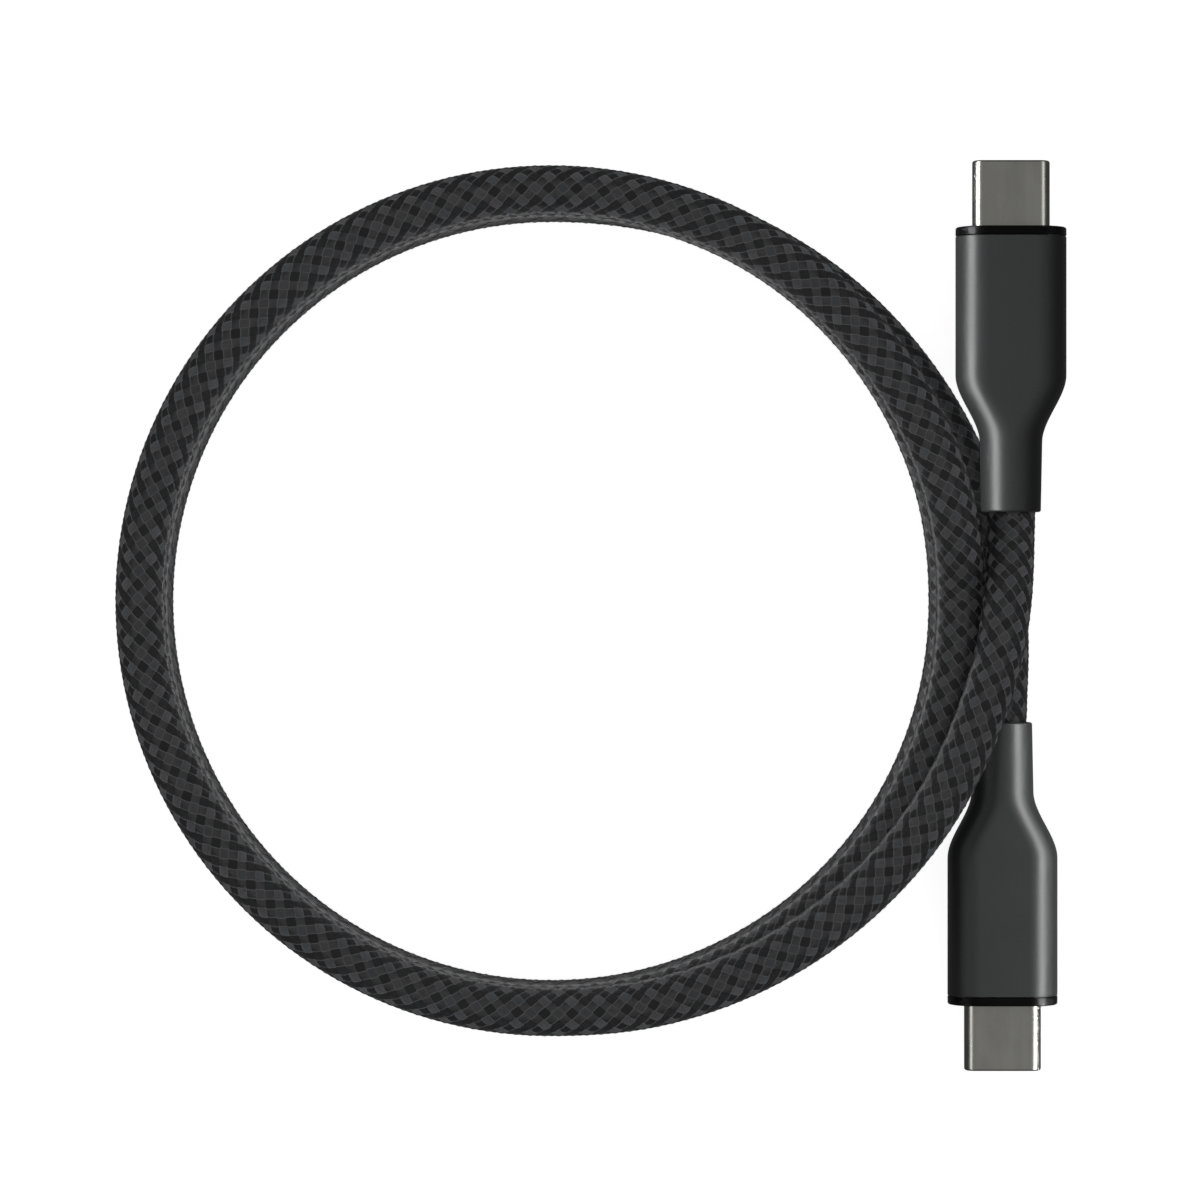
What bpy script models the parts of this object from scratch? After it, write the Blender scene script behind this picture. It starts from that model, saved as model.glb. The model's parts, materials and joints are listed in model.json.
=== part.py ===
"""A coiled, braided charging cable with a plug on each end, as separate sub-parts.

Metres, +Z up, lying on the plane z = 0. The origin is on that plane, midway between the two plugs:
halfway between their axes in X and halfway between the tips of their metal shells in Y.
The coil lies on the -X side. Plug A points to +Y, level, with its neck above the strand that runs to
plug B, and plug B lies flat on the plane and points to -Y. A plug's own frame has its origin at the
middle of the front face of its bezel, +Y out of the metal shell, X across its width and Z through its
thickness.
"""

import math

import bmesh
import bpy
from mathutils import Vector

MM = 0.001

# Cable and coil
CABLE_DIAMETER = 5.1 * MM
COIL_CENTRE = Vector((-48.7, 1.835, 0)) * MM
JOINT_GAP = 0.3 * MM  # between two cable solids, and between the cable and a neck
LEAD_A_START, COIL_START, COIL_END, LEAD_B_END = -10.88, 36.0, 1044.0, 1095.11  # degrees of turn
COIL_STEP = 18.0  # degrees of turn between a coil's points
LEAD_STEPS = 5
SQUARE_END = 0.8 * MM  # straight piece that squares each solid's end to the centre line
CABLE_SIDES = 3  # bevel resolution

# The cable's centre line: degrees of turn clockwise from +X about the coil's centre, then the
# radius and the height in millimetres. The first turn lies on the second and the second on the
# third; on the +X side each turn steps down a layer, and the last one runs out beside the others.
ROUTE = (
    (-10.88, 49.846, 8.20),
    (-10.1, 49.722, 8.20),
    (-8, 49.36, 8.40),
    (-4, 48.83, 9.36),
    (0, 48.38, 10.65),
    (8, 47.60, 12.10),
    (16, 46.88, 12.75),
    (30, 46.05, 13.00),
    (45, 45.15, 13.10),
    (60, 44.40, 13.20),
    (75, 43.80, 13.25),
    (90, 43.35, 13.25),
    (270, 43.30, 13.25),
    (300, 43.35, 13.15),
    (315, 43.40, 13.00),
    (330, 43.45, 12.60),
    (345, 43.50, 11.75),
    (352, 43.55, 10.40),
    (360, 43.58, 8.50),
    (375, 43.70, 7.95),
    (405, 43.60, 7.90),
    (450, 43.40, 7.90),
    (630, 43.30, 7.90),
    (660, 43.35, 7.80),
    (675, 43.25, 7.60),
    (690, 43.15, 7.15),
    (705, 43.10, 6.25),
    (712, 43.05, 4.95),
    (720, 43.08, 3.15),
    (735, 43.25, 2.55),
    (765, 43.42, 2.55),
    (810, 43.42, 2.55),
    (900, 43.30, 2.55),
    (990, 43.30, 2.55),
    (1020, 44.30, 2.55),
    (1035, 45.03, 2.55),
    (1050, 45.88, 2.55),
    (1065, 47.00, 2.55),
    (1080, 48.50, 2.65),
    (1091, 49.50, 3.30),
    (1095.11, 50.182, 3.35),
)

# Plug: lengths run along its axis from the bezel's front face
PLUG_A_NECK_END = Vector((48.95, 9.41, 8.2)) * MM  # from the coil's centre
PLUG_B_NECK_END = Vector((48.45, -13.08, 3.35)) * MM
PLUG_LENGTH = 30.3 * MM
BODY_WIDTH = 11.8 * MM
BODY_THICKNESS = 6.7 * MM
BEZEL_LENGTH = 0.9 * MM
BODY_END = 15.7 * MM
TAPER_END = 22.9 * MM
NECK_FRONT_RADIUS = 3.32 * MM
NECK_REAR_RADIUS = 3.18 * MM
BODY_WALL = 0.75 * MM
BORE_RADIUS = 2.9 * MM
EDGE_RADIUS = 0.25 * MM
TAPER_SECTIONS = 7

# Metal shell and what it holds
SHELL_WIDTH = 8.25 * MM
SHELL_HEIGHT = 2.4 * MM
SHELL_OUT = 7.1 * MM
SHELL_IN = 5.5 * MM
SHELL_WALL = 0.3 * MM
FIT = 0.1 * MM  # between two pieces of a plug
INSULATOR_WIDTH = 7.4 * MM
INSULATOR_HEIGHT = 1.48 * MM
INSULATOR_FRONT = 6.6 * MM
INSULATOR_REAR = -3.0 * MM
SLOT_WIDTH = 6.8 * MM
SLOT_HEIGHT = 1.08 * MM
CONTACTS = 12
CONTACT_PITCH = 0.5 * MM
CONTACT_WIDTH = 0.25 * MM
CONTACT_THICKNESS = 0.1 * MM
CONTACT_HEIGHT = 0.43 * MM  # middle of a row above the plug's mid-plane
CARD_THICKNESS = 0.6 * MM
CARD_REAR = -12.6 * MM
COVER_FRONT, COVER_REAR = -5.8 * MM, -13.2 * MM
COVER_HALF, COVER_RADIUS, COVER_WALL = 2.3 * MM, 2.3 * MM, 0.2 * MM
JACKET_RADIUS = 2.2 * MM  # under the crimp, with the braid cut back
CABLE_END_LENGTH = 8.1 * MM
FERRULE_LENGTH = 3.0 * MM
ARC_STEPS = 14

OBJECT_COLLECTION = "charging_cable"


def clear_scene():
    for old in list(bpy.data.objects):
        bpy.data.objects.remove(old, do_unlink=True)
    for old in list(bpy.data.collections):
        bpy.data.collections.remove(old)


def new_collection(name):
    collection = bpy.data.collections.new(name)
    bpy.context.scene.collection.children.link(collection)
    return collection


def material(name, colour, roughness, metallic=0.0):
    made = bpy.data.materials.get(name)
    if made:
        return made
    made = bpy.data.materials.new(name)
    made.use_nodes = True
    shader = made.node_tree.nodes["Principled BSDF"]
    shader.inputs["Base Color"].default_value = (*colour, 1)
    shader.inputs["Roughness"].default_value = roughness
    shader.inputs["Metallic"].default_value = metallic
    made.diffuse_color = (*colour, 1)
    return made


def add_object(name, data, finish, parent=None):
    data.materials.append(finish)
    made = bpy.data.objects.new(name, data)
    bpy.data.collections[OBJECT_COLLECTION].objects.link(made)
    made.parent = parent
    return made


def shade_round(mesh):
    mesh.shade_smooth()
    mesh.set_sharp_from_angle(angle=math.radians(35))


# Shapes


def stadium(half, radius, steps=ARC_STEPS):
    """Points of a flat-sided oval in X and Z: two half circles whose centres are at x = +-half."""
    points = []
    for side, start in ((1, -90), (-1, 90)):
        for i in range(steps + 1):
            angle = math.radians(start + 180 * i / steps)
            points.append((side * half + radius * math.cos(angle), radius * math.sin(angle)))
    return points


def lofted_sleeve(name, outer, inner, finish, parent):
    """A sleeve open at both ends. outer and inner list (y, half, radius) from the front to the rear."""
    shape = bmesh.new()

    def ring(y, half, radius):
        return [shape.verts.new((x, y, z)) for x, z in stadium(half, radius)]

    rings = [ring(*section) for section in outer]
    rings += [ring(*section) for section in reversed(inner)]
    for front, rear in zip(rings, rings[1:] + rings[:1]):
        count = len(front)
        for i in range(count):
            after = (i + 1) % count
            shape.faces.new((front[i], front[after], rear[after], rear[i]))
    bmesh.ops.remove_doubles(shape, verts=shape.verts, dist=1e-7)
    bmesh.ops.recalc_face_normals(shape, faces=shape.faces)
    mesh = bpy.data.meshes.new(name)
    shape.to_mesh(mesh)
    shape.free()
    shade_round(mesh)
    return add_object(name, mesh, finish, parent)


def turned_piece(name, profile, finish, parent, steps=20):
    """A ring or plug turned about the plug's axis. profile lists (radius, y) down its outer side first."""
    mesh = bpy.data.meshes.new(name)
    points = [(radius, 0, y) for radius, y in profile]
    count = len(points)
    closed = min(radius for radius, _ in profile) > 0
    edges = [(i, i + 1) for i in range(count - 1)]
    if closed:
        edges.append((count - 1, 0))
    mesh.from_pydata(points, edges, [])
    made = add_object(name, mesh, finish, parent)
    made.rotation_euler = (-math.pi / 2, 0, 0)
    screw = made.modifiers.new("turn", "SCREW")
    screw.steps = screw.render_steps = steps
    screw.use_merge_vertices = True
    screw.merge_threshold = 0.00001
    screw.use_smooth_shade = True
    return made


def flat_plate(name, outline, thickness, height, finish, parent):
    """A stamped plate parallel to the plug's mid-plane, from its outline in X and Y."""
    curve = bpy.data.curves.new(name, "CURVE")
    curve.dimensions = "2D"
    curve.fill_mode = "BOTH"
    curve.extrude = thickness / 2
    line = curve.splines.new("POLY")
    line.points.add(len(outline) - 1)
    for point, (x, y) in zip(line.points, outline):
        point.co = (x, y, 0, 1)
    line.use_cyclic_u = True
    made = add_object(name, curve, finish, parent)
    made.location.z = height
    return made


def comb_outline(count, pitch, width, tip, root, rear):
    """A comb's outline: teeth from y = root to y = tip on a strip that ends at y = rear."""
    edge = (count - 1) * pitch / 2 + width / 2
    points = [(-edge, rear), (edge, rear)]
    for i in reversed(range(count)):
        middle = (i - (count - 1) / 2) * pitch
        points += [
            (middle + width / 2, root),
            (middle + width / 2, tip),
            (middle - width / 2, tip),
            (middle - width / 2, root),
        ]
    return points


def round_wire(name, points, diameter, finish, parent=None, resolution=2):
    """A tube with filled caps through the given points."""
    curve = bpy.data.curves.new(name, "CURVE")
    curve.dimensions = "3D"
    curve.bevel_depth = diameter / 2
    curve.bevel_resolution = resolution
    curve.use_fill_caps = True
    line = curve.splines.new("POLY")
    line.points.add(len(points) - 1)
    for point, place in zip(line.points, points):
        point.co = (*place, 1)
    line.use_smooth = True
    return add_object(name, curve, finish, parent)


def small_block(name, size, place, finish, parent):
    """A chip's or capacitor's body with its edges broken."""
    shape = bmesh.new()
    bmesh.ops.create_cube(shape, size=1)
    bmesh.ops.scale(shape, vec=size, verts=shape.verts)
    bmesh.ops.bevel(shape, geom=shape.edges, offset=0.06 * MM, segments=1, affect="EDGES")
    mesh = bpy.data.meshes.new(name)
    shape.to_mesh(mesh)
    shape.free()
    made = add_object(name, mesh, finish, parent)
    made.location = place
    return made


# Cable


def route_slopes(column):
    """Slopes at ROUTE's points that keep the curve between them free of overshoot."""
    turns = [knot[0] for knot in ROUTE]
    values = [knot[column] for knot in ROUTE]
    spans = [b - a for a, b in zip(turns, turns[1:])]
    chords = [(b - a) / span for a, b, span in zip(values, values[1:], spans)]
    slopes = [chords[0]]
    for before, after, left, right in zip(chords, chords[1:], spans, spans[1:]):
        if before * after <= 0:
            slopes.append(0.0)
        else:
            wide, near = 2 * right + left, right + 2 * left
            slopes.append((wide + near) / (wide / before + near / after))
    slopes.append(chords[-1])
    return slopes


RADIUS_SLOPES = route_slopes(1)
HEIGHT_SLOPES = route_slopes(2)


def route_value(turn, column, slopes):
    i = max(k for k in range(len(ROUTE) - 1) if ROUTE[k][0] <= turn or k == 0)
    start, end = ROUTE[i], ROUTE[i + 1]
    span = end[0] - start[0]
    t = (turn - start[0]) / span
    return (
        (2 * t**3 - 3 * t**2 + 1) * start[column]
        + (t**3 - 2 * t**2 + t) * span * slopes[i]
        + (3 * t**2 - 2 * t**3) * end[column]
        + (t**3 - t**2) * span * slopes[i + 1]
    )


def route_point(turn):
    angle = math.radians(turn)
    radius = route_value(turn, 1, RADIUS_SLOPES) * MM
    height = route_value(turn, 2, HEIGHT_SLOPES) * MM
    return COIL_CENTRE + Vector((radius * math.cos(angle), -radius * math.sin(angle), height))


def route_points(start, end, steps, trim_start, trim_end):
    """Points along the centre line, drawn in by the trims and with its two ends squared to it."""
    points = [route_point(start + (end - start) * i / steps) for i in range(steps + 1)]
    ahead = (route_point(start + 1) - route_point(start)).normalized()
    back = (route_point(end - 1) - route_point(end)).normalized()
    first = [points[0] + ahead * trim for trim in (trim_start, trim_start + SQUARE_END)]
    last = [points[-1] + back * trim for trim in (trim_end + SQUARE_END, trim_end)]
    return first + points[1:-1] + last


def cable():
    braid = material("braid", (0.035, 0.036, 0.038), 0.75)
    half_gap = JOINT_GAP / 2
    coil_steps = round((COIL_END - COIL_START) / COIL_STEP)
    stretches = (
        ("cable_lead_a", LEAD_A_START, COIL_START, LEAD_STEPS, JOINT_GAP, half_gap),
        ("cable_coil", COIL_START, COIL_END, coil_steps, half_gap, half_gap),
        ("cable_lead_b", COIL_END, LEAD_B_END, LEAD_STEPS, half_gap, JOINT_GAP),
    )
    for name, start, end, steps, trim_start, trim_end in stretches:
        points = route_points(start, end, steps, trim_start, trim_end)
        round_wire(name, points, CABLE_DIAMETER, braid, resolution=CABLE_SIDES)


# Plug


def housing_sections(wall):
    """(y, half, radius) of the housing at a depth of wall under its surface, front to rear."""
    body_half = (BODY_WIDTH - BODY_THICKNESS) / 2
    body_radius = BODY_THICKNESS / 2
    sections = [(-BEZEL_LENGTH - FIT, body_half, body_radius - wall), (-BODY_END, body_half, body_radius - wall)]
    for i in range(1, TAPER_SECTIONS + 1):
        share = i / TAPER_SECTIONS
        ease = share * share * (3 - 2 * share)
        y = -BODY_END - (TAPER_END - BODY_END) * share
        radius = body_radius + (NECK_FRONT_RADIUS - body_radius) * ease
        sections.append((y, body_half * (1 - ease), radius - wall))
    return sections


def housing(name, plug):
    finish = material("housing", (0.03, 0.032, 0.034), 0.42)
    outer = housing_sections(0)
    outer.append((EDGE_RADIUS - PLUG_LENGTH, 0, NECK_REAR_RADIUS))
    outer.append((-PLUG_LENGTH, 0, NECK_REAR_RADIUS - 0.5 * EDGE_RADIUS))
    inner = housing_sections(BODY_WALL)[:-1]
    inner.append((-TAPER_END, 0, BORE_RADIUS))
    inner.append((-PLUG_LENGTH, 0, BORE_RADIUS))
    lofted_sleeve(name, outer, inner, finish, plug)


def front_bezel(name, plug):
    finish = material("bezel", (0.008, 0.008, 0.009), 0.12)
    half = (BODY_WIDTH - BODY_THICKNESS) / 2
    radius = BODY_THICKNESS / 2
    outer = [
        (0, half, radius - EDGE_RADIUS),
        (-0.3 * EDGE_RADIUS, half, radius - 0.3 * EDGE_RADIUS),
        (-EDGE_RADIUS, half, radius),
        (-BEZEL_LENGTH, half, radius),
    ]
    hole_half = (SHELL_WIDTH - SHELL_HEIGHT) / 2
    hole_radius = SHELL_HEIGHT / 2 + FIT
    inner = [(0, hole_half, hole_radius), (-BEZEL_LENGTH, hole_half, hole_radius)]
    lofted_sleeve(name, outer, inner, finish, plug)


def connector_shell(name, plug):
    finish = material("plated_steel", (0.42, 0.42, 0.41), 0.28, 1.0)
    half = (SHELL_WIDTH - SHELL_HEIGHT) / 2
    radius = SHELL_HEIGHT / 2
    lip = 0.18 * MM
    outer = [
        (SHELL_OUT, half, radius - lip),
        (SHELL_OUT - 0.3 * lip, half, radius - 0.3 * lip),
        (SHELL_OUT - lip, half, radius),
        (-SHELL_IN, half, radius),
    ]
    inner = [(SHELL_OUT, half, radius - SHELL_WALL), (-SHELL_IN, half, radius - SHELL_WALL)]
    lofted_sleeve(name, outer, inner, finish, plug)


def contact_insulator(name, plug):
    """The moulding inside the shell, with the slot that takes the socket's tongue."""
    finish = material("insulator", (0.02, 0.02, 0.02), 0.5)
    radius = INSULATOR_HEIGHT / 2
    half = INSULATOR_WIDTH / 2 - radius
    slot_radius = SLOT_HEIGHT / 2
    slot_half = SLOT_WIDTH / 2 - slot_radius
    outer = [(INSULATOR_FRONT, half, radius), (INSULATOR_REAR, half, radius)]
    inner = [(INSULATOR_FRONT, slot_half, slot_radius), (INSULATOR_REAR, slot_half, slot_radius)]
    lofted_sleeve(name, outer, inner, finish, plug)


def contact_rows(prefix, plug):
    """Two rows of twelve spring contacts, each row as one comb with its bridge over the card."""
    finish = material("gold_plate", (0.83, 0.6, 0.22), 0.25, 1.0)
    outline = comb_outline(
        CONTACTS, CONTACT_PITCH, CONTACT_WIDTH, tip=5.9 * MM, root=-3.7 * MM, rear=-4.2 * MM
    )
    for side, height in (("upper", CONTACT_HEIGHT), ("lower", -CONTACT_HEIGHT)):
        flat_plate(f"{prefix}_{side}_contacts", outline, CONTACT_THICKNESS, height, finish, plug)


def latch_plate(name, plug):
    """The mid-plate between the rows, with a hooked arm on each side that grips the socket's tongue."""
    finish = material("spring_steel", (0.5, 0.5, 0.48), 0.3, 1.0)
    right = [
        (3.0, -2.9),
        (3.0, 4.9),
        (2.7, 5.4),
        (2.45, 5.1),
        (2.7, 4.6),
        (2.7, 0.9),
    ]
    outline = [(x * MM, y * MM) for x, y in right]
    outline += [(-x, y) for x, y in reversed(outline)]
    flat_plate(name, outline, 0.2 * MM, 0, finish, plug)


def ground_springs(prefix, plug):
    """Sprung screens above and below the insulator, which touch the socket's shell."""
    finish = material("spring_steel", (0.5, 0.5, 0.48), 0.3, 1.0)
    height = INSULATOR_HEIGHT / 4 + (SHELL_HEIGHT / 2 - SHELL_WALL) / 2
    outline = comb_outline(4, 1.5 * MM, 0.9 * MM, tip=5.8 * MM, root=3.6 * MM, rear=1.5 * MM)
    for side, place in (("upper", height), ("lower", -height)):
        flat_plate(f"{prefix}_{side}_ground_spring", outline, 0.06 * MM, place, finish, plug)


def paddle_card(name, plug):
    """The small circuit board that the contacts and the wires are soldered to."""
    finish = material("circuit_board", (0.02, 0.11, 0.05), 0.45)
    right = [(3.1, -3.1), (3.1, -5.9), (4.0, -5.9), (4.0, CARD_REAR / MM)]
    outline = [(x * MM, y * MM) for x, y in right]
    outline += [(-x, y) for x, y in reversed(outline)]
    flat_plate(name, outline, CARD_THICKNESS, 0, finish, plug)


def card_components(prefix, plug, with_chip):
    chip = material("chip", (0.015, 0.015, 0.016), 0.4)
    ceramic = material("ceramic", (0.45, 0.33, 0.22), 0.5)
    top = CARD_THICKNESS / 2 + FIT / 2
    if with_chip:
        size = Vector((2.0, 2.0, 0.6)) * MM
        place = Vector((-1.2 * MM, -7.6 * MM, top + size.z / 2))
        small_block(f"{prefix}_marker_chip", size, place, chip, plug)
    size = Vector((0.6, 1.1, 0.55)) * MM
    place = Vector((2.2 * MM, -7.4 * MM, top + size.z / 2))
    small_block(f"{prefix}_supply_capacitor", size, place, ceramic, plug)


def shield_covers(prefix, plug):
    """The two stamped halves of the screening can round the card."""
    finish = material("tinned_steel", (0.55, 0.55, 0.53), 0.35, 1.0)
    length = COVER_FRONT - COVER_REAR
    for side, sign in (("upper", 1), ("lower", -1)):
        name = f"{prefix}_{side}_shield_cover"
        arc = [point for point in stadium(COVER_HALF, COVER_RADIUS, 12) if point[1] > 0.15 * MM]
        shape = bmesh.new()
        front = [shape.verts.new((x, COVER_FRONT, sign * z)) for x, z in arc]
        rear = [shape.verts.new((x, COVER_FRONT - length, sign * z)) for x, z in arc]
        for i in range(len(arc) - 1):
            face = (front[i], rear[i], rear[i + 1], front[i + 1])
            shape.faces.new(face if sign < 0 else reversed(face))
        mesh = bpy.data.meshes.new(name)
        shape.to_mesh(mesh)
        shape.free()
        cover = add_object(name, mesh, finish, plug)
        wall = cover.modifiers.new("wall", "SOLIDIFY")
        wall.thickness = COVER_WALL
        wall.offset = -1
        wall.use_even_offset = True


def inner_mould(name, plug):
    """The moulded sleeve that holds the wires where they leave the card."""
    finish = material("inner_mould", (0.5, 0.5, 0.48), 0.6)
    outer = [(-13.5 * MM, 2.2 * MM, 2.3 * MM), (-15.8 * MM, 2.1 * MM, 2.3 * MM)]
    outer += [(-18.2 * MM, 1.1 * MM, 2.3 * MM), (-20.5 * MM, 0.2 * MM, 2.3 * MM), (-22.0 * MM, 0, 2.3 * MM)]
    inner = [(y, half, radius - 0.5 * MM) for y, half, radius in outer]
    lofted_sleeve(name, outer, inner, finish, plug)


def wires(prefix, plug):
    """The five insulated wires, from their pads on the card to the cut end of the cable."""
    cores = (
        ("power", (0.5, 0.02, 0.02), 1.2, (2.6, 1.1), (0.85, 0.75)),
        ("ground", (0.02, 0.02, 0.02), 1.2, (-2.6, -1.1), (-0.85, -0.75)),
        ("control", (0.02, 0.1, 0.5), 0.6, (-2.6, 0.8), (-0.9, 0.95)),
        ("data_plus", (0.02, 0.35, 0.08), 0.6, (0.0, 0.8), (-0.2, 0.35)),
        ("data_minus", (0.7, 0.7, 0.68), 0.6, (2.6, -0.8), (0.75, -0.6)),
    )
    for core, colour, size, pad, end in cores:
        finish = material(f"wire_{core}", colour, 0.45)
        places = []
        for share, y in ((0, -9.9), (0, -13.0), (0.15, -15.0), (0.55, -17.5), (0.9, -20.0), (1, -22.0)):
            x = pad[0] + (end[0] - pad[0]) * share
            z = pad[1] + (end[1] - pad[1]) * share
            places.append(Vector((x, y, z)) * MM)
        round_wire(f"{prefix}_{core}_wire", places, size * MM, finish, plug, resolution=1)


def neck_pieces(prefix, plug):
    """The crimp on the cable's jacket, the bush in the mouth of the neck and the cable's own end."""
    steel = material("tinned_steel", (0.55, 0.55, 0.53), 0.35, 1.0)
    rubber = material("bush", (0.01, 0.01, 0.01), 0.6)
    braid = material("braid", (0.035, 0.036, 0.038), 0.75)
    front = CABLE_END_LENGTH - PLUG_LENGTH
    crimp_front = front - 0.1 * MM
    crimp_rear = crimp_front - FERRULE_LENGTH
    inner, outer = JACKET_RADIUS + FIT, BORE_RADIUS - 0.2 * MM
    ring = [(outer, crimp_front), (outer, crimp_rear), (inner, crimp_rear), (inner, crimp_front)]
    turned_piece(f"{prefix}_crimp_ferrule", ring, steel, plug)
    bush_front = 4.2 * MM - PLUG_LENGTH
    inner, outer = CABLE_DIAMETER / 2 + 0.05 * MM, BORE_RADIUS - 0.05 * MM
    ring = [(outer, bush_front), (outer, -PLUG_LENGTH), (inner, -PLUG_LENGTH), (inner, bush_front)]
    turned_piece(f"{prefix}_neck_bush", ring, rubber, plug)
    step = crimp_rear - 0.2 * MM
    profile = [
        (0, front),
        (JACKET_RADIUS, front),
        (JACKET_RADIUS, step),
        (CABLE_DIAMETER / 2, step - FIT),
        (CABLE_DIAMETER / 2, -PLUG_LENGTH),
        (0, -PLUG_LENGTH),
    ]
    turned_piece(f"{prefix}_cable_end", profile, braid, plug)


def plug(prefix, place, turn_z, with_chip):
    frame = bpy.data.objects.new(f"{prefix}_frame", None)
    bpy.data.collections[OBJECT_COLLECTION].objects.link(frame)
    frame.location = place
    frame.rotation_euler = (0, 0, turn_z)
    housing(f"{prefix}_housing", frame)
    front_bezel(f"{prefix}_front_bezel", frame)
    connector_shell(f"{prefix}_connector_shell", frame)
    contact_insulator(f"{prefix}_contact_insulator", frame)
    contact_rows(prefix, frame)
    latch_plate(f"{prefix}_latch_plate", frame)
    ground_springs(prefix, frame)
    paddle_card(f"{prefix}_paddle_card", frame)
    card_components(prefix, frame, with_chip)
    shield_covers(prefix, frame)
    inner_mould(f"{prefix}_inner_mould", frame)
    wires(prefix, frame)
    neck_pieces(prefix, frame)


def main():
    clear_scene()
    new_collection(OBJECT_COLLECTION)
    cable()
    nose_a = Vector((0, PLUG_LENGTH, 0))
    plug("plug_a", COIL_CENTRE + PLUG_A_NECK_END + nose_a, 0, with_chip=True)
    nose_b = Vector((0, -PLUG_LENGTH, 0))
    plug("plug_b", COIL_CENTRE + PLUG_B_NECK_END + nose_b, math.pi, with_chip=False)


main()
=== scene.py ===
"""Looks for the coiled, braided charging cable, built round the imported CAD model.

Everything is in metres in the CAD's frame: +Z up, the cable on the plane z = 0, plug A towards +Y
and plug B towards -Y, the coil on the -X side. The braid is woven as real cells along the cable's
route; the plugs keep their CAD pieces and get their finishes here.
"""

import json
import math

import bmesh
import bpy
import numpy as np
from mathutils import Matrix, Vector


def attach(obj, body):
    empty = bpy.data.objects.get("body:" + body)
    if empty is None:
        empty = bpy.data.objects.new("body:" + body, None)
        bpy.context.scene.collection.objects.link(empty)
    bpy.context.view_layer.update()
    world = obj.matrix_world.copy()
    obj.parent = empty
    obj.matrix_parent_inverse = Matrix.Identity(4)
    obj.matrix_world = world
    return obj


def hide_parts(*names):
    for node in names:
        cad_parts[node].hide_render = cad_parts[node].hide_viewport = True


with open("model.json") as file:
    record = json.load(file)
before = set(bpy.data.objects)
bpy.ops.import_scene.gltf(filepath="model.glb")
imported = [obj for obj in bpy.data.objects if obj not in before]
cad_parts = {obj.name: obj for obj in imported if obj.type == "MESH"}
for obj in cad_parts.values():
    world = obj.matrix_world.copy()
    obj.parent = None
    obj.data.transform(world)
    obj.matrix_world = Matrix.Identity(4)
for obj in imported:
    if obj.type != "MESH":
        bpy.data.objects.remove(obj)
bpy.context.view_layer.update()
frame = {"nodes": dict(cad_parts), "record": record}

MM = 0.001
NODES = frame["nodes"]
SEED = 7

# The cable's route, the same points as in part.py: degrees of turn clockwise from +X about the
# coil's centre, then the radius and the height in metres.
COIL_CENTRE = np.array((-0.0487, 0.001835, 0.0))
ROUTE = (
    (-10.88, 0.049846, 0.00820),
    (-10.1, 0.049722, 0.00820),
    (-8, 0.04936, 0.00840),
    (-4, 0.04883, 0.00936),
    (0, 0.04838, 0.01065),
    (8, 0.04760, 0.01210),
    (16, 0.04688, 0.01275),
    (30, 0.04605, 0.01300),
    (45, 0.04515, 0.01310),
    (60, 0.04440, 0.01320),
    (75, 0.04380, 0.01325),
    (90, 0.04335, 0.01325),
    (270, 0.04330, 0.01325),
    (300, 0.04335, 0.01315),
    (315, 0.04340, 0.01300),
    (330, 0.04345, 0.01260),
    (345, 0.04350, 0.01175),
    (352, 0.04355, 0.01040),
    (360, 0.04358, 0.00850),
    (375, 0.04370, 0.00795),
    (405, 0.04360, 0.00790),
    (450, 0.04340, 0.00790),
    (630, 0.04330, 0.00790),
    (660, 0.04335, 0.00780),
    (675, 0.04325, 0.00760),
    (690, 0.04315, 0.00715),
    (705, 0.04310, 0.00625),
    (712, 0.04305, 0.00495),
    (720, 0.04308, 0.00315),
    (735, 0.04325, 0.00255),
    (765, 0.04342, 0.00255),
    (810, 0.04342, 0.00255),
    (900, 0.04330, 0.00255),
    (990, 0.04330, 0.00255),
    (1020, 0.04430, 0.00255),
    (1035, 0.04503, 0.00255),
    (1050, 0.04588, 0.00255),
    (1065, 0.04700, 0.00255),
    (1080, 0.04850, 0.00265),
    (1091, 0.04950, 0.00330),
    (1095.11, 0.050182, 0.00335),
)

# Braid: twelve yarns each way round, over one and under one
COLUMNS = 24
CELL_HALF_LENGTH = 0.72 * MM
BRAID_RADIUS = 2.55 * MM
CREST = 0.07 * MM
VALLEY = 0.06 * MM
YARN_TONES = (0.066, 0.020, 0.011)  # light, dark and middle yarns

# Plug, as in part.py: lengths run along its axis from the bezel's front face
PORT_MOUNT_HEIGHT = 2.2 * MM  # of a port face's mount above the plug's axis
PLUG_LENGTH = 30.3 * MM
BODY_WIDTH = 11.8 * MM
BODY_THICKNESS = 6.7 * MM
BEZEL_LENGTH = 0.9 * MM
PARTING_GAP = 0.1 * MM
BODY_END = 15.7 * MM
TAPER_END = 22.9 * MM
NECK_FRONT_RADIUS = 3.32 * MM
NECK_REAR_RADIUS = 3.18 * MM
BODY_WALL = 0.75 * MM
BORE_RADIUS = 2.9 * MM
EDGE_RADIUS = 0.25 * MM
SHELL_WIDTH = 8.25 * MM
SHELL_HEIGHT = 2.4 * MM
SHELL_OUT = 7.1 * MM
SHELL_IN = 5.5 * MM
SHELL_WALL = 0.3 * MM
SHELL_LIP = 0.27 * MM
ARC_STEPS = 40

# Studio: powers in watts, lengths in metres, angles in degrees from straight up
WORLD_STRENGTH = 0.09
FLOOR_SIZE = 4.0
FLOOR_DROP = 0.05 * MM
FLOOR_EMISSION = 0.90
BACKDROP_REACH = 3.9
BACKDROP_HEIGHT = 3.0
STRIP_DISTANCE = 0.5
SIDE_DISTANCE = 0.7
SIDE_HEIGHT = 0.10
GLOW_RADIUS = 0.033
GLOW_LOW, GLOW_HIGH = 0.0005, 0.003
GLOW_STEPS = 96
GLOW_EMISSION = 2.9
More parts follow.
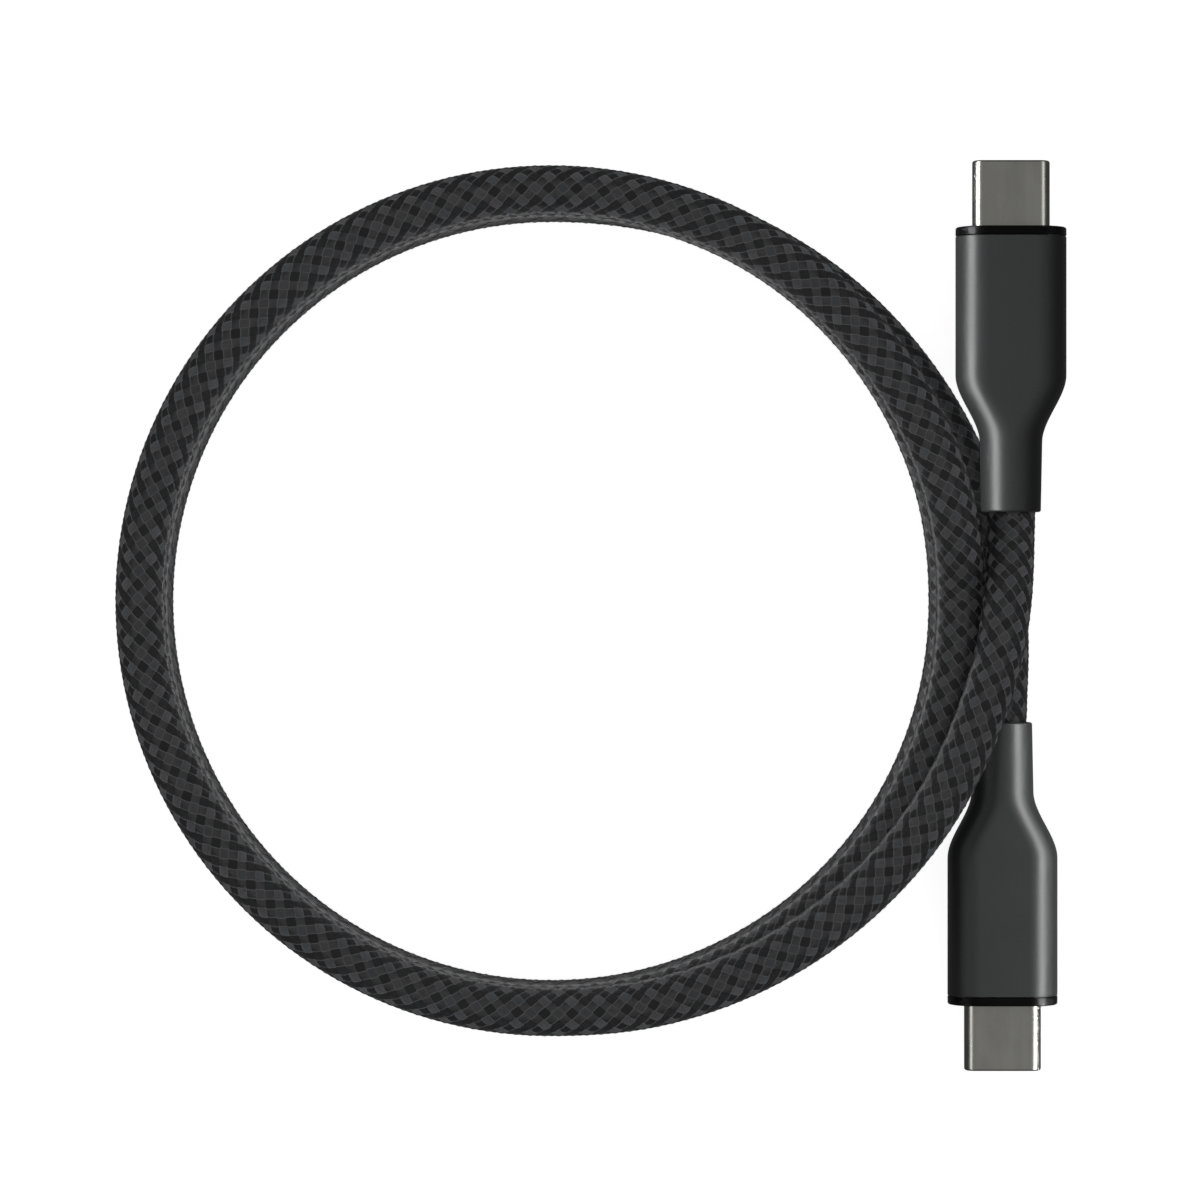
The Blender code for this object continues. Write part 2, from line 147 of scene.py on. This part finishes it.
# For each plug: the side its main strip stands on, the strip's angle and the power of the far fill
PLUG_LIGHTS = (("plug_a", -1, 62, 0.12), ("plug_b", 1, 57, 0.34))

CAMERA_FIELD = 14.12
CAMERA_OFFSET = (0.0052, 0.00005)  # from the coil's centre
CAMERA_HEIGHT = 0.524


# Route


def route_slopes(column):
    """Slopes at ROUTE's points that keep the curve between them free of overshoot."""
    turns = [knot[0] for knot in ROUTE]
    values = [knot[column] for knot in ROUTE]
    spans = [b - a for a, b in zip(turns, turns[1:])]
    chords = [(b - a) / span for a, b, span in zip(values, values[1:], spans)]
    slopes = [chords[0]]
    for before, after, left, right in zip(chords, chords[1:], spans, spans[1:]):
        if before * after <= 0:
            slopes.append(0.0)
        else:
            wide, near = 2 * right + left, right + 2 * left
            slopes.append((wide + near) / (wide / before + near / after))
    slopes.append(chords[-1])
    return np.array(slopes)


def route_values(turns, column):
    knots = np.array([knot[0] for knot in ROUTE], float)
    values = np.array([knot[column] for knot in ROUTE])
    slopes = route_slopes(column)
    i = np.clip(np.searchsorted(knots, turns, side="right") - 1, 0, len(knots) - 2)
    span = knots[i + 1] - knots[i]
    t = (turns - knots[i]) / span
    return (
        (2 * t**3 - 3 * t**2 + 1) * values[i]
        + (t**3 - 2 * t**2 + t) * span * slopes[i]
        + (3 * t**2 - 2 * t**3) * values[i + 1]
        + (t**3 - t**2) * span * slopes[i + 1]
    )


def route_points(turns):
    radius = route_values(turns, 1)
    height = route_values(turns, 2)
    angle = np.radians(turns)
    return COIL_CENTRE + np.column_stack((radius * np.cos(angle), -radius * np.sin(angle), height))


def even_route():
    """Points along the route a quarter of a braid cell apart, and the length of the route."""
    turns = np.linspace(ROUTE[0][0], ROUTE[-1][0], 12000)
    points = route_points(turns)
    lengths = np.concatenate(([0.0], np.cumsum(np.linalg.norm(np.diff(points, axis=0), axis=1))))
    rows = 2 * round(lengths[-1] / CELL_HALF_LENGTH / 2)
    steps = np.linspace(0, lengths[-1], 2 * rows + 1)
    return np.column_stack([np.interp(steps, lengths, points[:, k]) for k in range(3)]), lengths[-1]


# Braid

# The four quarters of a cell: grid steps round and along to the two half-way points and the corner
QUARTERS = (
    ((1, -1), (2, 0), (1, 1)),
    ((1, 1), (0, 2), (-1, 1)),
    ((-1, 1), (-2, 0), (-1, -1)),
    ((-1, -1), (0, -2), (1, -1)),
)


def braid_mesh(line):
    """The woven tube: one diamond cell to each place where a yarn comes to the top.

    Cells stand on every second place of a grid of 24 columns round and half a cell along. A cell in
    an even column belongs to a yarn that winds one way, in an odd column to one that winds the other.
    """
    count = len(line)
    along = np.gradient(line, axis=0)
    along /= np.linalg.norm(along, axis=1)[:, None]
    up = np.array((0, 0, 1.0)) - along[:, 2:3] * along
    up /= np.linalg.norm(up, axis=1)[:, None]
    side = np.cross(along, up)

    fine = 2 * COLUMNS
    index = -np.ones((count, fine), int)
    places, heights = [], []
    for a in range(count):
        for c in range(a % 2, fine, 2):
            index[a, c] = len(places)
            places.append((a, c))
            if a % 2:
                heights.append(0.0)
            elif (a // 2 + c // 2) % 2 == 0:
                heights.append(CREST)
            else:
                heights.append(-VALLEY)
    places = np.array(places)
    heights = np.array(heights)
    angle = 2 * math.pi * places[:, 1] / fine
    radius = BRAID_RADIUS + heights
    rows = places[:, 0]
    verts = line[rows] + radius[:, None] * (
        np.cos(angle)[:, None] * up[rows] + np.sin(angle)[:, None] * side[rows]
    )

    rng = np.random.default_rng(SEED)
    yarn_tone = rng.normal(1.0, 0.06, (2, COLUMNS))
    faces, tones, grain, kinds = [], [], [], []
    for a in range(0, count, 2):
        row = a // 2
        for column in range(row % 2, COLUMNS, 2):
            c = 2 * column
            winding = column % 2
            yarn = ((row + column) // 2 if winding else (row - column) // 2) % (COLUMNS // 2)
            kind = 2 if winding else yarn % 2
            tone = YARN_TONES[kind] * yarn_tone[winding, yarn] * rng.normal(1.0, 0.07)
            shift = rng.random(2)
            for before, corner, after in QUARTERS:
                quad, spots = [index[a, c]], [(0, 0)]
                for dc, da in (before, corner, after):
                    if 0 <= a + da < count:
                        quad.append(index[a + da, (c + dc) % fine])
                        spots.append((dc, da))
                if len(quad) < 3:
                    continue
                faces.append(quad)
                kinds.append(kind)
                for dc, da in spots:
                    one, other = (da + dc) / 4, (da - dc) / 4
                    run, across = (other, one) if winding else (one, other)
                    grain.append((run + 0.5 + 4 * shift[0], across + 0.5))
                    tones.append((tone, shift[1], 0.0, 1.0))
    verts = verts.tolist()
    for row, order in ((0, 1), (count - 1, -1)):
        ring = [index[row, c] for c in range(0, fine, 2)][::order]
        verts.append(line[row].tolist())
        for one, other in zip(ring, ring[1:] + ring[:1]):
            faces.append((len(verts) - 1, other, one))
            kinds.append(1)
            grain += [(0.5, 0.5)] * 3
            tones += [(YARN_TONES[1], 0.0, 0.0, 1.0)] * 3

    mesh = bpy.data.meshes.new("braided_cable")
    mesh.from_pydata(verts, [], faces)
    mesh.uv_layers.new(name="grain").data.foreach_set("uv", np.array(grain).ravel())
    yarn_layer = mesh.attributes.new("yarn", "FLOAT_COLOR", "CORNER")
    yarn_layer.data.foreach_set("color", np.array(tones).ravel())
    mesh.polygons.foreach_set("material_index", kinds)
    mesh.shade_smooth()
    mesh.update()
    middle = mesh.polygons[len(faces) // 2]
    nearest = line[np.argmin(np.linalg.norm(line - np.array(middle.center), axis=1))]
    if np.dot(np.array(middle.normal), np.array(middle.center) - nearest) < 0:
        mesh.flip_normals()
    return mesh


# Materials


def new_material(name):
    made = bpy.data.materials.new(name)
    made.use_nodes = True
    tree = made.node_tree
    return made, tree, tree.nodes["Principled BSDF"]


def node(tree, kind, **inputs):
    made = tree.nodes.new(kind)
    for key, value in inputs.items():
        made.inputs[key.replace("_", " ")].default_value = value
    return made


def math_node(tree, operation, first, second=None, clamp=False):
    made = tree.nodes.new("ShaderNodeMath")
    made.operation = operation
    made.use_clamp = clamp
    for socket, value in zip(made.inputs, (first, second)):
        if value is None:
            continue
        if isinstance(value, (int, float)):
            socket.default_value = value
        else:
            tree.links.new(value, socket)
    return made.outputs[0]


def ramp(tree, value, low, high, to_low=0.0, to_high=1.0):
    made = tree.nodes.new("ShaderNodeMapRange")
    made.inputs["From Min"].default_value = low
    made.inputs["From Max"].default_value = high
    made.inputs["To Min"].default_value = to_low
    made.inputs["To Max"].default_value = to_high
    tree.links.new(value, made.inputs["Value"])
    return made.outputs["Result"]


def object_coordinates(tree, scale=(1, 1, 1)):
    coordinates = tree.nodes.new("ShaderNodeTexCoord")
    mapping = tree.nodes.new("ShaderNodeMapping")
    mapping.inputs["Scale"].default_value = scale
    tree.links.new(coordinates.outputs["Object"], mapping.inputs["Vector"])
    return mapping.outputs["Vector"]


def noise(tree, vector, scale, detail=3.0, roughness=0.5):
    made = node(tree, "ShaderNodeTexNoise", Scale=scale, Detail=detail, Roughness=roughness)
    tree.links.new(vector, made.inputs["Vector"])
    return made.outputs["Fac"]


def bump(tree, shader, height, strength, distance):
    made = node(tree, "ShaderNodeBump", Strength=strength, Distance=distance)
    tree.links.new(height, made.inputs["Height"])
    tree.links.new(made.outputs["Normal"], shader.inputs["Normal"])


def yarn_material(name, roughness, gloss, sheen, line):
    """Nylon yarn: a cell has its own tone and filaments along it, a painted highlight line just inside its
    edges, and painted shade at the edges themselves.
    """
    made, tree, shader = new_material(name)
    grain = tree.nodes.new("ShaderNodeUVMap")
    grain.uv_map = "grain"
    split = tree.nodes.new("ShaderNodeSeparateXYZ")
    tree.links.new(grain.outputs["UV"], split.inputs["Vector"])
    yarn = tree.nodes.new("ShaderNodeAttribute")
    yarn.attribute_name = "yarn"
    channels = tree.nodes.new("ShaderNodeSeparateColor")
    tree.links.new(yarn.outputs["Color"], channels.inputs["Color"])

    stretch = tree.nodes.new("ShaderNodeMapping")
    stretch.inputs["Scale"].default_value = (1.2, 14, 1)
    tree.links.new(grain.outputs["UV"], stretch.inputs["Vector"])
    filaments = noise(tree, stretch.outputs["Vector"], 1.0, detail=2.0)

    across = math_node(tree, "ABSOLUTE", math_node(tree, "SUBTRACT", split.outputs["Y"], 0.5))
    # Painted highlight: a thin line of light added to the yarn's colour just inside its edges, its
    # strength given by the argument line.
    painted_rim_highlight = ramp(tree, across, 0.40, 0.44, 0.0, line)
    # Painted shade: the yarn's colour falls to half at its very edges, for the shade in the grooves
    # between yarns.
    edge = ramp(tree, across, 0.44, 0.50, 1.0, 0.5)
    streak = ramp(tree, filaments, 0.3, 0.7, 0.8, 1.2)
    tone = math_node(tree, "MULTIPLY", channels.outputs["Red"], edge)
    tone = math_node(tree, "MULTIPLY", tone, streak)
    tone = math_node(tree, "ADD", tone, painted_rim_highlight)
    colour = tree.nodes.new("ShaderNodeCombineColor")
    for key, low, high in (("Red", 0.95, 1.01), ("Green", 1.01, 0.97), ("Blue", 1.06, 1.03)):
        tint = ramp(tree, channels.outputs["Green"], 0.0, 1.0, low, high)
        tree.links.new(math_node(tree, "MULTIPLY", tone, tint), colour.inputs[key])
    tree.links.new(colour.outputs["Color"], shader.inputs["Base Color"])
    shader.inputs["Roughness"].default_value = roughness
    shader.inputs["Specular IOR Level"].default_value = gloss
    shader.inputs["Sheen Weight"].default_value = sheen
    shader.inputs["Sheen Roughness"].default_value = 0.4
    bump(tree, shader, filaments, 0.5, 0.03 * MM)
    return made


def plastic_material(name, colour, roughness, speck=0.12, grain_depth=0.006 * MM, gloss=0.5):
    """Moulded plastic with a fine spark-eroded grain and slight unevenness in its gloss."""
    made, tree, shader = new_material(name)
    vector = object_coordinates(tree)
    fine = noise(tree, vector, 5200, detail=2.0)
    broad = noise(tree, vector, 160, detail=3.0)
    tint = ramp(tree, fine, 0.3, 0.7, 1 - speck, 1 + speck)
    tinted = tree.nodes.new("ShaderNodeCombineColor")
    for key, value in zip(("Red", "Green", "Blue"), colour):
        tree.links.new(math_node(tree, "MULTIPLY", tint, value), tinted.inputs[key])
    tree.links.new(tinted.outputs["Color"], shader.inputs["Base Color"])
    shader.inputs["Specular IOR Level"].default_value = gloss
    uneven = ramp(tree, broad, 0.3, 0.7, roughness - 0.03, roughness + 0.03)
    tree.links.new(uneven, shader.inputs["Roughness"])
    bump(tree, shader, fine, 0.35, grain_depth)
    return made


def metal_material(name, colour, roughness, lines=(1, 1, 1), depth=0.002 * MM):
    """Plated or stamped metal with faint marks, drawn out along the axis where lines is smallest."""
    made, tree, shader = new_material(name)
    vector = object_coordinates(tree, lines)
    marks = noise(tree, vector, 900, detail=2.0)
    cloud = noise(tree, object_coordinates(tree), 220, detail=2.0)
    tint = ramp(tree, marks, 0.3, 0.7, 0.93, 1.05)
    tinted = tree.nodes.new("ShaderNodeCombineColor")
    for key, value in zip(("Red", "Green", "Blue"), colour):
        tree.links.new(math_node(tree, "MULTIPLY", tint, value), tinted.inputs[key])
    tree.links.new(tinted.outputs["Color"], shader.inputs["Base Color"])
    shader.inputs["Metallic"].default_value = 1.0
    gloss = ramp(tree, cloud, 0.3, 0.7, roughness - 0.03, roughness + 0.04)
    tree.links.new(gloss, shader.inputs["Roughness"])
    bump(tree, shader, marks, 0.3, depth)
    return made


def board_material():
    """Green solder mask with the weave of the glass cloth showing through."""
    made, tree, shader = new_material("solder_mask")
    vector = object_coordinates(tree)
    weave = node(tree, "ShaderNodeTexChecker", Scale=2400)
    weave.inputs["Color1"].default_value = (0.012, 0.09, 0.035, 1)
    weave.inputs["Color2"].default_value = (0.016, 0.11, 0.045, 1)
    tree.links.new(vector, weave.inputs["Vector"])
    tree.links.new(weave.outputs["Color"], shader.inputs["Base Color"])
    shader.inputs["Roughness"].default_value = 0.35
    bump(tree, shader, noise(tree, vector, 2500), 0.2, 0.005 * MM)
    return made


def set_material(name, finish):
    data = NODES[name].data
    if len(data.materials) == 0:
        data.materials.append(finish)
    for i in range(len(data.materials)):
        data.materials[i] = finish
    for slot in NODES[name].material_slots:
        slot.material = finish


# Plugs


def plug_frame(prefix):
    """A plug's own frame, from the mount on its bezel: origin on the axis at the bezel's front."""
    mount = next(m for m in frame["record"]["mounts"] if m["name"] == f"{prefix}_port_face")
    along = Vector(mount["axis"]).normalized()
    up = Vector((0, 0, 1)) - along.z * along
    up.normalize()
    origin = Vector(mount["pos_m"]) - up * PORT_MOUNT_HEIGHT
    return origin, along.cross(up), along, up


def stadium(half, radius, steps=ARC_STEPS):
    points = []
    for side, start in ((1, -90), (-1, 90)):
        for i in range(steps + 1):
            angle = math.radians(start + 180 * i / steps)
            points.append((side * half + radius * math.cos(angle), radius * math.sin(angle)))
    return points


def plug_sleeve(prefix, part, sections, finish):
    """A closed sleeve in a plug's frame.

    The sections list (y, half, radius) down its outside and back up its inside.
    """
    origin, across, along, up = plug_frame(prefix)
    shape = bmesh.new()
    rings = []
    for y, half, radius in sections:
        outline = stadium(half, radius)
        rings.append([shape.verts.new(origin + across * x + along * y + up * z) for x, z in outline])
    for front, rear in zip(rings, rings[1:] + rings[:1]):
        count = len(front)
        for i in range(count):
            after = (i + 1) % count
            shape.faces.new((front[i], front[after], rear[after], rear[i]))
    bmesh.ops.remove_doubles(shape, verts=shape.verts, dist=1e-7)
    bmesh.ops.recalc_face_normals(shape, faces=shape.faces)
    name = f"{prefix}_{part}_finish"
    mesh = bpy.data.meshes.new(name)
    shape.to_mesh(mesh)
    shape.free()
    mesh.shade_smooth()
    mesh.set_sharp_from_angle(angle=math.radians(40))
    made = bpy.data.objects.new(name, mesh)
    bpy.context.scene.collection.objects.link(made)
    mesh.materials.append(finish)
    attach(made, "root")
    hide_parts(f"{prefix}_{part}")
    return made


def rounded_edge(y, half, radius, size, towards, steps=6):
    """Sections that round an outer edge at y. The end face looks towards +1 or -1 along the axis."""
    sections = []
    for i in range(steps + 1):
        angle = math.radians(90 * i / steps)
        inset = size * (1 - math.cos(angle))
        sections.append((y - towards * size * (1 - math.sin(angle)), half, radius - inset))
    return sections


def body_sections(wall, steps):
    """The housing's outline, at a depth of wall under its surface, from the body's end to the taper's."""
    body_half = (BODY_WIDTH - BODY_THICKNESS) / 2
    body_radius = BODY_THICKNESS / 2
    sections = [(-BODY_END, body_half, body_radius - wall)]
    for i in range(1, steps + 1):
        share = i / steps
        ease = share * share * (3 - 2 * share)
        y = -BODY_END - (TAPER_END - BODY_END) * share
        radius = body_radius + (NECK_FRONT_RADIUS - body_radius) * ease
        sections.append((y, body_half * (1 - ease), radius - wall))
    return sections


def housing(prefix, finish):
    body_half = (BODY_WIDTH - BODY_THICKNESS) / 2
    body_radius = BODY_THICKNESS / 2
    front = -BEZEL_LENGTH - PARTING_GAP
    outer = rounded_edge(front, body_half, body_radius, 0.06 * MM, 1, steps=3)[::-1]
    outer += body_sections(0, 32)
    outer += rounded_edge(-PLUG_LENGTH, 0, NECK_REAR_RADIUS, 0.24 * MM, -1)
    inner = [(front, body_half, body_radius - BODY_WALL)] + body_sections(BODY_WALL, 12)[:-1]
    inner += [(-TAPER_END, 0, BORE_RADIUS), (-PLUG_LENGTH, 0, BORE_RADIUS)]
    return plug_sleeve(prefix, "housing", outer + inner[::-1], finish)


def bezel(prefix, finish):
    half = (BODY_WIDTH - BODY_THICKNESS) / 2
    radius = BODY_THICKNESS / 2
    outer = rounded_edge(0, half, radius, EDGE_RADIUS, 1)[::-1]
    outer += rounded_edge(-BEZEL_LENGTH, half, radius, 0.05 * MM, -1, steps=2)
    hole_half = (SHELL_WIDTH - SHELL_HEIGHT) / 2
    hole = SHELL_HEIGHT / 2 + PARTING_GAP
    inner = [(-BEZEL_LENGTH, hole_half, hole), (0, hole_half, hole)]
    return plug_sleeve(prefix, "front_bezel", outer + inner, finish)


def connector_shell(prefix, finish):
    half = (SHELL_WIDTH - SHELL_HEIGHT) / 2
    radius = SHELL_HEIGHT / 2
    outer = rounded_edge(SHELL_OUT, half, radius, SHELL_LIP, 1, steps=8)[::-1]
    outer.append((-SHELL_IN, half, radius))
    bore = radius - SHELL_WALL
    inner = [(-SHELL_IN, half, bore), (SHELL_OUT - 0.02 * MM, half, bore)]
    return plug_sleeve(prefix, "connector_shell", outer + inner, finish)


def dress_plugs():
    shell = metal_material("nickel_plate", (0.335, 0.332, 0.312), 0.27, lines=(1, 0.12, 1))
    finishes = {
        "housing": plastic_material("satin_plastic", (0.019, 0.020, 0.0203), 0.34),
        "front_bezel": plastic_material(
            "gloss_plastic", (0.0012, 0.0012, 0.0012), 0.25, speck=0.05, grain_depth=0.001 * MM, gloss=0.28
        ),
        "connector_shell": shell,
        "contact_insulator": plastic_material("black_nylon", (0.012, 0.012, 0.012), 0.45),
        "contacts": metal_material("gold_plate", (0.83, 0.58, 0.22), 0.25, lines=(1, 0.2, 1)),
        "latch_plate": metal_material("spring_steel", (0.56, 0.55, 0.53), 0.3, lines=(1, 0.2, 1)),
        "paddle_card": board_material(),
        "marker_chip": plastic_material("chip_package", (0.013, 0.013, 0.014), 0.42),
        "supply_capacitor": plastic_material("ceramic", (0.38, 0.27, 0.17), 0.5),
        "shield_cover": metal_material("tin_plate", (0.62, 0.61, 0.59), 0.34, lines=(0.2, 1, 1)),
        "inner_mould": plastic_material("natural_plastic", (0.5, 0.5, 0.46), 0.55),
        "power_wire": plastic_material("red_insulation", (0.5, 0.018, 0.015), 0.42),
        "ground_wire": plastic_material("black_insulation", (0.014, 0.014, 0.014), 0.42),
        "control_wire": plastic_material("blue_insulation", (0.02, 0.1, 0.45), 0.42),
        "data_plus_wire": plastic_material("green_insulation", (0.02, 0.3, 0.07), 0.42),
        "data_minus_wire": plastic_material("white_insulation", (0.7, 0.7, 0.67), 0.42),
        "neck_bush": plastic_material("soft_bush", (0.006, 0.006, 0.006), 0.6),
        "cable_end": plastic_material("cut_jacket", (0.012, 0.012, 0.012), 0.6),
    }
    for prefix in ("plug_a", "plug_b"):
        housing(prefix, finishes["housing"])
        bezel(prefix, finishes["front_bezel"])
        connector_shell(prefix, finishes["connector_shell"])
    finishes["ground_spring"] = finishes["latch_plate"]
    finishes["crimp_ferrule"] = finishes["shield_cover"]
    for name in NODES:
        for key, finish in finishes.items():
            if name.startswith("plug_") and name.endswith(key):
                set_material(name, finish)


# Cable


def weave_cable():
    line, length = even_route()
    braid = bpy.data.objects.new("braided_cable", braid_mesh(line))
    bpy.context.scene.collection.objects.link(braid)
    # The last number for each yarn is the strength of its painted rim highlight.
    braid.data.materials.append(yarn_material("light_yarn", 0.6, 0.2, 0.05, 0.05))
    braid.data.materials.append(yarn_material("dark_yarn", 0.6, 0.28, 0.02, 0.0))
    braid.data.materials.append(yarn_material("mid_yarn", 0.38, 0.9, 0.0, 0.075))
    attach(braid, "root")
    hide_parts("cable_lead_a", "cable_coil", "cable_lead_b")
    return braid


# Studio


def glowing_material(name, strength):
    made, _, shader = new_material(name)
    shader.inputs["Base Color"].default_value = (0, 0, 0, 1)
    shader.inputs["Specular IOR Level"].default_value = 0.0
    shader.inputs["Emission Color"].default_value = (1, 1, 1, 1)
    shader.inputs["Emission Strength"].default_value = strength
    return made


def stage_piece(name, verts, faces, finish):
    mesh = bpy.data.meshes.new(name)
    mesh.from_pydata(verts, [], faces)
    made = bpy.data.objects.new(name, mesh)
    bpy.context.scene.collection.objects.link(made)
    mesh.materials.append(finish)
    return made


def square(half, height):
    return [(-half, -half, height), (half, -half, height), (half, half, height), (-half, half, height)]


def floor():
    """The white table. It glows, so that it stays white where the lights are weak."""
    finish, _, shader = new_material("floor")
    shader.inputs["Base Color"].default_value = (0.85, 0.85, 0.85, 1)
    shader.inputs["Roughness"].default_value = 0.9
    shader.inputs["Specular IOR Level"].default_value = 0.0
    shader.inputs["Emission Color"].default_value = (1, 1, 1, 1)
    shader.inputs["Emission Strength"].default_value = FLOOR_EMISSION
    made = stage_piece("floor", square(FLOOR_SIZE, 0), [(0, 1, 2, 3)], finish)
    made.location.z = -FLOOR_DROP
    made.visible_diffuse = False
    made.visible_glossy = False


def backdrop():
    """White walls round the floor, which only the camera sees, so that a low view has no grey sky."""
    verts = square(BACKDROP_REACH, 0) + square(BACKDROP_REACH, BACKDROP_HEIGHT)
    faces = [(i, (i + 1) % 4, (i + 1) % 4 + 4, i + 4) for i in range(4)]
    made = stage_piece("backdrop", verts, faces, glowing_material("backdrop", 1.0))
    made.visible_diffuse = False
    made.visible_glossy = False
    made.visible_transmission = False
    made.visible_shadow = False


def link_light(made, receivers):
    """Let a light reach only the receivers."""
    group = bpy.data.collections.new(f"{made.name}_receivers")
    for piece in receivers:
        group.objects.link(piece)
    made.light_linking.receiver_collection = group


def area_light(name, place, target, size, power, receivers, shadow=True):
    data = bpy.data.lights.new(name, "AREA")
    data.shape = "RECTANGLE"
    data.size, data.size_y = size
    data.energy = power
    data.use_shadow = shadow
    data.cycles.use_multiple_importance_sampling = shadow
    made = bpy.data.objects.new(name, data)
    bpy.context.scene.collection.objects.link(made)
    made.location = place
    made.visible_camera = False
    made.rotation_euler = (Vector(target) - Vector(place)).to_track_quat("-Z", "Y").to_euler()
    link_light(made, receivers)
    return made


def glow_ring(middle, receivers):
    """A low ring inside the coil, for the glow of the white table on the coil's inner wall."""
    verts, faces = [], []
    for i in range(GLOW_STEPS):
        turn = 2 * math.pi * i / GLOW_STEPS
        x, y = middle[0] + GLOW_RADIUS * math.cos(turn), middle[1] + GLOW_RADIUS * math.sin(turn)
        verts += [(x, y, GLOW_LOW), (x, y, GLOW_HIGH)]
        after = 2 * ((i + 1) % GLOW_STEPS)
        faces.append((2 * i, after, after + 1, 2 * i + 1))
    made = stage_piece("glow_ring", verts, faces, glowing_material("glow_ring", GLOW_EMISSION))
    made.visible_camera = False
    made.visible_shadow = False
    link_light(made, receivers)


def lights():
    """The world's glow, and lights that are each linked to the pieces they are for.

    A light that casts no shadow reaches past the braid, so that the coil doesn't dim a plug beside it.
    """
    world = bpy.data.worlds.new("studio")
    bpy.context.scene.world = world
    world.use_nodes = True
    background = world.node_tree.nodes["Background"]
    background.inputs["Color"].default_value = (1, 1, 1, 1)
    background.inputs["Strength"].default_value = WORLD_STRENGTH

    middle = (COIL_CENTRE[0], COIL_CENTRE[1], 0)
    pieces = [piece for piece in bpy.data.objects if piece.type == "MESH"]
    braid = [piece for piece in pieces if piece.name == "braided_cable"]
    ground = [piece for piece in pieces if piece.name == "floor"]
    plugs = [piece for piece in pieces if piece.name.startswith("plug_")]
    matt = [piece for piece in plugs if "front_bezel" not in piece.name]
    area_light("overhead", (middle[0], middle[1], 0.8), middle, (1.4, 1.4), 1.5, braid + ground)
    area_light("plug_overhead", (0, 0, 0.8), (0, 0, 0), (1.8, 1.8), 2.8, matt)
    for prefix, side, strip_angle, far_fill in PLUG_LIGHTS:
        origin = plug_frame(prefix)[0]
        target = (origin.x, origin.y, 0)
        plug = [piece for piece in pieces if piece.name.startswith(prefix)]
        shell = [piece for piece in plug if "connector_shell" in piece.name]
        moulded = [piece for piece in plug if piece not in shell]
        for name, way, angle, width, power, lit, shadow in (
            ("strip", side, strip_angle, 0.23, 6.6, moulded, False),
            ("edge", side, 84, 0.30, 1.1, plug, False),
            ("far_fill", -side, 57, 0.30, far_fill, moulded, False),
            ("shell_strip", side, strip_angle, 0.23, 6.6, shell, True),
            ("shell_far_strip", -side, 48, 0.20, 1.2, shell, True),
        ):
            tilt = math.radians(angle)
            reach, height = STRIP_DISTANCE * math.sin(tilt), STRIP_DISTANCE * math.cos(tilt)
            place = (origin.x + way * reach, origin.y, height)
            area_light(f"{prefix}_{name}", place, target, (1.0, width), power, lit, shadow)
    for i in range(4):
        turn = math.radians(90 * i)
        x, y = middle[0] + SIDE_DISTANCE * math.cos(turn), middle[1] + SIDE_DISTANCE * math.sin(turn)
        for name, power, shadow in (("side", 1.9, True), ("side_fill", 0.8, False)):
            place = (x, y, SIDE_HEIGHT)
            made = area_light(f"{name}_{i}", place, middle, (0.9, 0.15), power, braid, shadow)
            made.visible_glossy = False
    area_light("fill", (middle[0], middle[1], 0.7), middle, (1.4, 1.4), 0.7, braid, False)
    glow_ring(middle, braid)


def camera():
    data = bpy.data.cameras.new("camera")
    data.sensor_fit = "HORIZONTAL"
    data.angle = math.radians(CAMERA_FIELD)
    made = bpy.data.objects.new("camera", data)
    bpy.context.scene.collection.objects.link(made)
    x, y = COIL_CENTRE[0] + CAMERA_OFFSET[0], COIL_CENTRE[1] + CAMERA_OFFSET[1]
    made.location = (x, y, CAMERA_HEIGHT)
    data.clip_start, data.clip_end = 0.01, 10
    bpy.context.scene.camera = made


bpy.context.scene.view_settings.view_transform = "Standard"
camera()
weave_cable()
dress_plugs()
floor()
backdrop()
lights()
